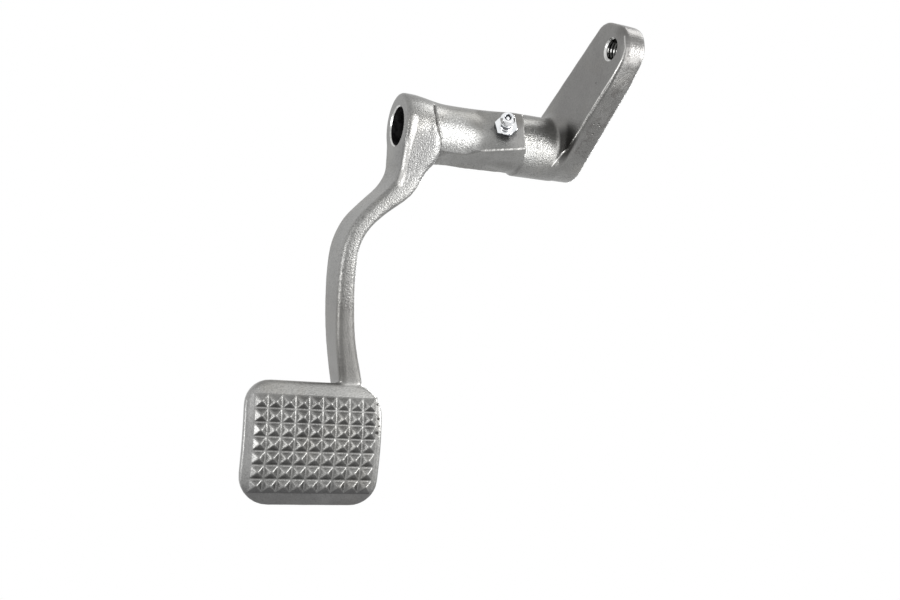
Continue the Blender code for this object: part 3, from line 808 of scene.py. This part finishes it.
def head_profile():
    """(radius, height) from the mouth over the head and down to the thread's end."""
    top = HEAD_TOP
    points = [
        (0.0, top - 3 * MM),
        (CHAMBER_RADIUS, top - 3 * MM),
        (CHAMBER_RADIUS, top - 1.3 * MM),
        (MOUTH_RADIUS, top - 0.5 * MM),
        (MOUTH_RADIUS, top - 0.38 * MM),
        (MOUTH_EDGE - 0.07 * MM, top - 0.04 * MM),
        (MOUTH_EDGE, top),
        (HEAD_RADIUS - 1.05 * MM, top),
        (HEAD_RADIUS - 0.87 * MM, top - 0.06 * MM),
        (HEAD_RADIUS - 0.75 * MM, top - 0.2 * MM),
        (HEAD_RADIUS - 0.25 * MM, top - 1.25 * MM),
        (HEAD_RADIUS - 0.06 * MM, top - 1.65 * MM),
        (HEAD_RADIUS, top - 2.0 * MM),
        (HEAD_RADIUS - 0.02 * MM, top - 2.65 * MM),
        (HEAD_RADIUS - 0.14 * MM, top - 3.7 * MM),
        (HEAD_RADIUS - 0.24 * MM, top - 4.1 * MM),
        (HEAD_RADIUS - 0.45 * MM, top - 4.35 * MM),
        (NECK_RADIUS + 0.08 * MM, top - 4.75 * MM),
        (NECK_RADIUS, top - 5.0 * MM),
        (NECK_RADIUS, HEX_HEIGHT + 0.6 * MM),
        (NECK_RADIUS + 0.15 * MM, HEX_HEIGHT + 0.25 * MM),
        (NECK_RADIUS + 0.5 * MM, HEX_HEIGHT - 0.02 * MM),
        (NECK_RADIUS + 0.5 * MM, 0.5 * MM),
        (SHANK_RADIUS, 0.1 * MM),
        (SHANK_RADIUS, THREAD_TOP),
    ]
    for turn in range(THREAD_TURNS):
        height = THREAD_TOP - turn * THREAD_PITCH
        points.append((THREAD_CREST, height - THREAD_PITCH / 2))
        points.append((THREAD_ROOT, height - THREAD_PITCH))
    points += [(SHANK_RADIUS, THREAD_END), (0.0, THREAD_END)]
    return points


def in_painted_shade(face, turn):
    """Whether a face, before the turn into place, gets the painted shade: a low flank, the neck or the
    mouth's ring.
    """
    radius = math.hypot(face.center.x, face.center.y)
    height = face.center.z
    slope = abs(face.normal.z)
    facing = (turn @ face.normal).z
    low = facing < (FLANK_FACING if slope < FLANK_SLOPE else CHAMFER_FACING)
    on_hexagon = slope < CHAMFER_SLOPE and radius > FLANK_RADIUS and height < FLANK_TOP
    on_neck = radius < SHADED_NECK_RADIUS and HEX_HEIGHT < height < SHADED_NECK_TOP
    near_mouth = SHADED_RING[0] < radius < SHADED_RING[1]
    in_mouth = near_mouth and SHADED_RING_HEIGHTS[0] < height < SHADED_RING_HEIGHTS[1]
    return (low and on_hexagon) or on_neck or in_mouth


def make_fitting(plate, dark):
    fitting = hexagon_solid()
    combine(fitting, new_object("head", turned_mesh("head", head_profile(), 96)), "UNION")
    fitting.name = "fitting_body"
    bevel = fitting.modifiers.new("edges", "BEVEL")
    bevel.width = FITTING_BEVEL
    bevel.segments = 2
    bevel.limit_method = "ANGLE"
    bevel.angle_limit = math.radians(38)
    bevel.harden_normals = False
    apply_modifiers(fitting)
    set_materials(fitting, plate, dark)
    turn = fitting_frame().to_3x3()
    # Low flanks, the neck and the mouth's ring take the painted shade
    set_slots(fitting.data, np.array([in_painted_shade(face, turn) for face in fitting.data.polygons]))
    fitting.data.transform(fitting_frame())
    smooth_shading(fitting, 30)
    return fitting


def make_ball(plate):
    bm = bmesh.new()
    bmesh.ops.create_uvsphere(bm, u_segments=64, v_segments=32, radius=BALL_RADIUS)
    matrix = fitting_frame() @ Matrix.Translation((0, 0, BALL_CENTRE))
    ball = new_object("ball_surface", mesh_of("ball_surface", bm), matrix)
    set_materials(ball, plate)
    ball.data.shade_smooth()
    return ball


def make_spring(node, wire):
    """The coil under the ball, a copy of the imported coil fixed to the pedal; the real coil shortens as
    the ball is pressed in.
    """
    spring = new_object("spring_coil", node.data.copy())
    set_materials(spring, wire)
    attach(spring, "pedal")
    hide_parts("fitting_spring")
    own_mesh(spring)


# Materials

class Nodes:
    """Short calls for the nodes of one tree."""

    def __init__(self, tree):
        self.tree = tree

    def new(self, kind):
        return self.tree.nodes.new(kind)

    def link(self, a, b):
        self.tree.links.new(a, b)

    def put(self, value, socket):
        """Sets a socket to a number or a tuple, or links it to another socket."""
        if isinstance(value, (int, float, tuple)):
            socket.default_value = value
        else:
            self.link(value, socket)

    def maths(self, operation, a, b=0.0):
        node = self.new("ShaderNodeMath")
        node.operation = operation
        self.put(a, node.inputs[0])
        self.put(b, node.inputs[1])
        return node.outputs[0]

    def times(self, a, b):
        return self.maths("MULTIPLY", a, b)

    def most(self, first, *others):
        for other in others:
            first = self.maths("MAXIMUM", first, other)
        return first

    def seen(self):
        """1 for what the camera sees, straight, mirrored or through glass, and 0 for light."""
        path = self.new("ShaderNodeLightPath").outputs
        return self.most(path["Is Camera Ray"], path["Is Glossy Ray"], path["Is Transmission Ray"])

    def either(self, factor, a, b):
        """Shader a where the factor is 0, and b where it is 1."""
        node = self.new("ShaderNodeMixShader")
        self.link(factor, node.inputs["Fac"])
        self.link(a, node.inputs[1])
        self.link(b, node.inputs[2])
        return node.outputs[0]


class Graph(Nodes):
    """The nodes of a new material."""

    def __init__(self, name):
        self.material = bpy.data.materials.new(name)
        self.material.use_nodes = True
        super().__init__(self.material.node_tree)
        self.shader = self.tree.nodes["Principled BSDF"]
        self.coords = self.new("ShaderNodeTexCoord").outputs["Object"]

    def noise(self, scale, detail=2.0, rough=0.5, distortion=0.0):
        node = self.new("ShaderNodeTexNoise")
        node.inputs["Scale"].default_value = scale
        node.inputs["Detail"].default_value = detail
        node.inputs["Roughness"].default_value = rough
        node.inputs["Distortion"].default_value = distortion
        self.link(self.coords, node.inputs["Vector"])
        return node.outputs["Fac"]

    def cells(self, scale):
        """Distance from the middle of each of many small cells."""
        node = self.new("ShaderNodeTexVoronoi")
        node.inputs["Scale"].default_value = scale
        self.link(self.coords, node.inputs["Vector"])
        return node.outputs["Distance"]

    def ramp(self, value, low, high, out_low=0.0, out_high=1.0):
        node = self.new("ShaderNodeMapRange")
        node.interpolation_type = "SMOOTHSTEP"
        node.inputs["From Min"].default_value = low
        node.inputs["From Max"].default_value = high
        node.inputs["To Min"].default_value = out_low
        node.inputs["To Max"].default_value = out_high
        self.link(value, node.inputs["Value"])
        return node.outputs["Result"]

    def fade(self, value, full, end):
        """1 up to full, falling to 0 at end, both in millimetres."""
        return self.ramp(value, full * MM, end * MM, 1.0, 0.0)

    def band(self, value, start, full, fade, end):
        """1 from full to fade, and 0 before start and after end, all in millimetres."""
        return self.times(self.ramp(value, start * MM, full * MM), self.fade(value, fade, end))

    def mix(self, factor, a, b):
        node = self.new("ShaderNodeMix")
        node.data_type = "RGBA"
        self.put(factor, node.inputs[0])
        for value, socket in ((a, node.inputs[6]), (b, node.inputs[7])):
            self.put((*value, 1.0) if isinstance(value, tuple) else value, socket)
        return node.outputs[2]

    def vector_maths(self, operation, a, b):
        node = self.new("ShaderNodeVectorMath")
        node.operation = operation
        self.put(a, node.inputs[0])
        self.put(b, node.inputs["Scale" if operation == "SCALE" else 1])
        return node.outputs

    def distance(self, a, b):
        return self.vector_maths("DISTANCE", a, b)["Value"]

    def dot(self, a, b):
        return self.vector_maths("DOT_PRODUCT", a, b)["Value"]

    def near(self, x, y, z, inner, outer):
        """1 within inner of a point, falling to 0 at outer, all in millimetres."""
        return self.fade(self.distance(self.coords, (x * MM, y * MM, z * MM)), inner, outer)

    def axis(self, name):
        node = self.new("ShaderNodeSeparateXYZ")
        self.link(self.coords, node.inputs[0])
        return node.outputs[name]

    def line_gap(self, line):
        """Distance from a line of corners."""
        gaps = []
        for a, b in zip(line, line[1:]):
            a, b = Vector(a), Vector(b)
            ab = b - a
            away = self.vector_maths("SUBTRACT", self.coords, tuple(a))["Vector"]
            along = self.dot(away, tuple(ab / ab.length_squared))
            held = self.maths("MINIMUM", self.maths("MAXIMUM", along), 1.0)
            foot = self.vector_maths("SCALE", tuple(ab), held)["Vector"]
            gaps.append(self.distance(away, foot))
        least = gaps[0]
        for gap in gaps[1:]:
            least = self.maths("MINIMUM", least, gap)
        return least

    def bump(self, height, strength, distance, normal=None):
        node = self.new("ShaderNodeBump")
        node.inputs["Strength"].default_value = strength
        node.inputs["Distance"].default_value = distance
        self.link(height, node.inputs["Height"])
        if normal is not None:
            self.link(normal, node.inputs["Normal"])
        return node.outputs["Normal"]

    def metal(self, colour, roughness, normal=None, metallic=1.0):
        """Sets the shader, and gives the finished material."""
        self.link(colour, self.shader.inputs["Base Color"])
        self.link(roughness, self.shader.inputs["Roughness"])
        self.shader.inputs["Metallic"].default_value = metallic
        if normal is not None:
            self.link(normal, self.shader.inputs["Normal"])
        return self.material


def cast_zones(g):
    """Masks by name, 1 in a zone of the casting and 0 away from it."""
    x, z = g.axis("X"), g.axis("Z")
    zones = {name: g.near(*ball) for name, ball in ZONES.items()}
    zones["barrel"] = g.times(zones["barrel"], g.fade(g.dot(g.coords, UNDERSIDE), *UNDERSIDE_FADE))
    zones["corner"] = g.times(zones["corner"], g.band(x, *CORNER_BAND))
    zones["arm"] = g.band(z, *ARM_BAND)
    zones["low_arm_shade"] = g.band(z, *LOW_ARM_BAND)
    zones["pad"] = g.fade(z, *PAD_FADE)
    zones["pad_left_highlight"] = g.fade(x, *PAD_LEFT_FADE)
    zones["pad_low_shade"] = g.fade(z, *PAD_LOW_FADE)
    start, full = CRANK_EDGE_START
    zones["crank_edge"] = g.times(zones["crank"], g.ramp(x, start * MM, full * MM))
    zones["crank_scale"] = g.times(zones["crank_edge"], g.ramp(g.noise(240, 4, 0.7), 0.5, 0.64))
    grainy = g.most(zones["barrel"], zones["boss"], zones["hub"], zones["arm"])
    zones["grainy"] = g.times(grainy, g.fade(z, *GRAIN_FADE))
    return zones


def cast_pits(g, zones):
    """Small pits on the crank's edge, single ones on its inner face, and nicks on the pad."""
    clusters = g.ramp(g.noise(60), 0.5, 0.56)
    pits = g.times(g.times(g.ramp(g.cells(300), 0.08, 0.18, 0.8, 0.0), clusters), zones["crank_edge"])
    for x, y, z, size in CRANK_PITS:
        pits = g.most(pits, g.near(x, y, z, size * 0.5, size * 1.3))
    for u, v, size in PAD_NICKS:
        place = pad_frame() @ Vector((u * MM, crowned(v * MM), v * MM))
        pits = g.most(pits, g.near(*(place / MM), size * 0.6, size * 1.3))
    return pits


def painted_edge_highlights(g, marks):
    """Painted highlights along edges: broken up by noise on the crank ridge and the boss's flat, whole on
    the hub.
    """
    breaks = g.ramp(g.noise(160), 0.36, 0.5, 0.45, 1.0)
    ridge = g.ramp(g.line_gap(marks["ridge"]), 0.14 * MM, 0.5 * MM, 1.0, 0.0)
    flat = g.ramp(g.line_gap(marks["flat"]), 0.2 * MM, 0.65 * MM, 0.55, 0.0)
    hub = g.ramp(g.line_gap(marks["hub"]), 0.5 * MM, 1.9 * MM, 0.75, 0.0)
    return g.most(g.times(ridge, breaks), g.times(flat, breaks), hub)


def cast_material(marks, shade_amount=0.0):
    """Blasted cast steel: mottled grey, warm patches, a sparkling grain and pits, with painted shade and
    painted highlights.

    The second argument, from 0 to 1, is how much painted shade darkens it all.
    """
    g = Graph("cast_steel_painted_shade" if shade_amount else "cast_steel_blasted")
    zones = cast_zones(g)
    cloud = g.noise(70, 4, 0.6)
    warm = g.noise(45, 3, 0.55, distortion=0.4)
    fine = g.noise(1450, 1, 0.7)
    pits = cast_pits(g, zones)

    colour = g.mix(g.ramp(cloud, 0.3, 0.7), STEEL_DARK, STEEL_PALE)
    colour = g.mix(g.ramp(warm, 0.5, 0.72, 0.0, 0.35), colour, STEEL_WARM)
    # Zone colours, most of them painted shade or painted highlight
    for name, amount, tone in ZONE_COLOURS:
        colour = g.mix(g.times(zones[name], amount), colour, tone)
    specks = g.times(g.ramp(fine, 0.36, 0.5, 1.0, 0.0), g.ramp(zones["grainy"], 0.0, 1.0, 0.25, 0.5))
    colour = g.mix(specks, colour, SPECK)
    # Pits and nicks, with painted shade in their floors
    colour = g.mix(g.times(pits, 0.85), colour, PIT_SHADE)
    # Painted shade along the crease, over the carved groove
    crease = g.ramp(g.line_gap(marks["crease"]), 0.3 * MM, 0.85 * MM, 0.9, 0.0)
    colour = g.mix(crease, colour, CREASE_SHADE)
    # Painted highlights along the crank's ridge and the edges of the flat and the hub
    colour = g.mix(g.times(painted_edge_highlights(g, marks), 0.8), colour, EDGE_HIGHLIGHT)
    # Painted shade over all of it, as much as the second argument asks
    colour = g.mix(shade_amount, colour, PAINTED_SHADE_COLOUR)

    rough = g.maths("ADD", g.ramp(cloud, 0.3, 0.7, 0.31, 0.38), g.times(zones["pad"], 0.06))
    normal = g.bump(g.noise(160, 3), 0.14, 0.4 * MM)
    normal = g.bump(pits, 0.8, -0.4 * MM, normal)
    grain = g.times(fine, g.ramp(zones["grainy"], 0.0, 1.0, 0.4, 1.0))
    normal = g.bump(grain, 1.0, 0.25 * MM, normal)
    return g.metal(colour, rough, normal)


def mottled(g, tone, dark, pale, smooth, rough):
    """Colour and roughness that vary together with a noise."""
    return g.mix(g.ramp(tone, 0.3, 0.7), dark, pale), g.ramp(tone, 0.3, 0.7, smooth, rough)


def bore_shade_material():
    """The bore's wall, painted dark as the shade inside it."""
    g = Graph("bore_painted_shade")
    tone = g.noise(300, 3, 0.6)
    colour, rough = mottled(g, tone, (0.018, 0.017, 0.019), (0.05, 0.048, 0.05), 0.35, 0.6)
    return g.metal(colour, rough, g.bump(g.noise(900, 3), 0.4, 0.1 * MM), metallic=0.6)


def hole_material():
    """Drilled wall with the rings that the drill left, painted dark as the shade inside the hole."""
    g = Graph("hole_drilled")
    tone = g.noise(500, 2, 0.6)
    colour, rough = mottled(g, tone, (0.045, 0.045, 0.045), (0.12, 0.12, 0.115), 0.15, 0.28)
    rings = g.maths("SINE", g.times(g.axis("X"), 4200.0))
    return g.metal(colour, rough, g.bump(rings, 0.5, 0.08 * MM))


def chamfer_material():
    """The bright machined chamfers of the bore and the crank hole."""
    g = Graph("machined_edge")
    tone = g.noise(600, 3, 0.6)
    return g.metal(*mottled(g, tone, (0.42, 0.42, 0.41), (0.66, 0.66, 0.65), 0.18, 0.3))


def painted_shade_plate_material():
    """Painted shade for the fitting's low flanks, neck and mouth ring."""
    g = Graph("plate_painted_shade")
    tone = g.noise(500, 3, 0.6)
    colour, rough = mottled(g, tone, (0.05, 0.053, 0.06), (0.15, 0.155, 0.165), 0.2, 0.32)
    return g.metal(colour, rough, g.bump(tone, 0.3, 0.1 * MM))


def plated_material():
    """The fitting's bright plating."""
    g = Graph("bright_plate")
    tone = g.noise(400, 3, 0.6)
    colour, rough = mottled(g, tone, (0.80, 0.82, 0.84), (0.9, 0.91, 0.92), 0.12, 0.22)
    return g.metal(colour, rough, g.bump(g.noise(1600, 3), 0.2, 0.05 * MM))


def wire_material():
    g = Graph("spring_wire")
    tone = g.noise(800, 2, 0.6)
    return g.metal(*mottled(g, tone, (0.38, 0.37, 0.36), (0.5, 0.49, 0.47), 0.25, 0.4))


# Camera, light, floor and background

def make_camera():
    data = bpy.data.cameras.new("camera")
    data.sensor_width = SENSOR
    data.lens = LENS
    data.clip_start = 0.01
    camera = bpy.data.objects.new("camera", data)
    bpy.context.scene.collection.objects.link(camera)
    camera.matrix_world = Matrix.Translation(CAMERA_PLACE) @ CAMERA_TURN.to_matrix().to_4x4()
    bpy.context.scene.camera = camera


def area_light(name, aim, elevation, azimuth, distance, size, energy):
    """A soft square lamp that faces its aim."""
    data = bpy.data.lights.new(name, "AREA")
    data.size = size
    data.energy = energy
    light = bpy.data.objects.new(name, data)
    bpy.context.scene.collection.objects.link(light)
    high, turn = math.radians(elevation), math.radians(azimuth)
    side = math.cos(high)
    away = Vector((side * math.sin(turn), -side * math.cos(turn), math.sin(high)))
    light.location = Vector(aim) + away * distance
    light.rotation_euler = (-away).to_track_quat("-Z", "Y").to_euler()
    light.visible_camera = False


def background(nodes, strength):
    node = nodes.new("ShaderNodeBackground")
    node.inputs["Color"].default_value = WHITE
    node.inputs["Strength"].default_value = strength
    return node.outputs[0]


def make_world():
    """Soft light from all round, with white where it is seen."""
    world = bpy.data.worlds.new("studio")
    bpy.context.scene.world = world
    world.use_nodes = True
    world.node_tree.nodes.clear()
    nodes = Nodes(world.node_tree)
    light = background(nodes, WORLD_LIGHT)
    white = background(nodes, 1.0)
    out = nodes.new("ShaderNodeOutputWorld")
    nodes.link(nodes.either(nodes.seen(), light, white), out.inputs["Surface"])


def make_floor():
    """A pale sweep: plain floor with the pedal's shadow below it, white further out."""
    bm = bmesh.new()
    bmesh.ops.create_grid(bm, x_segments=1, y_segments=1, size=FLOOR_SIZE)
    floor = new_object("floor", mesh_of("floor", bm), Matrix.Translation((0, 0, FLOOR_Z)))
    g = Graph("floor_pale")
    g.shader.inputs["Base Color"].default_value = FLOOR_GREY
    g.shader.inputs["Roughness"].default_value = 0.9
    g.shader.inputs["Specular IOR Level"].default_value = 0.1
    far = g.times(g.seen(), g.ramp(g.distance(g.coords, FLOOR_MIDDLE), *FLOOR_FADE))
    white = g.new("ShaderNodeEmission")
    white.inputs["Strength"].default_value = 1.0
    surface = g.either(far, g.shader.outputs[0], white.outputs[0])
    g.link(surface, g.tree.nodes["Material Output"].inputs["Surface"])
    set_materials(floor, g.material)


def main():
    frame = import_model()
    nodes = frame["nodes"]
    make_camera()
    make_world()
    make_floor()
    bpy.context.scene.view_settings.view_transform = "Standard"
    for lamp in LAMPS:
        area_light(*lamp)

    body, marks = make_body(nodes["pedal_casting"])
    steel = cast_material(marks)
    plate = plated_material()
    casting = make_casting(body, steel)
    # The second steel carries the painted shade for the studs' lower flanks
    field = make_field(steel, cast_material(marks, STUD_PAINTED_SHADE))
    for piece in (casting, field):
        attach(piece, "pedal")
        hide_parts("pedal_casting")
    fitting = make_fitting(plate, painted_shade_plate_material())
    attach(fitting, "pedal")
    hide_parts("grease_fitting")
    ball = make_ball(plate)
    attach(ball, "check_ball")
    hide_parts("fitting_ball")
    make_spring(nodes["fitting_spring"], wire_material())


main()
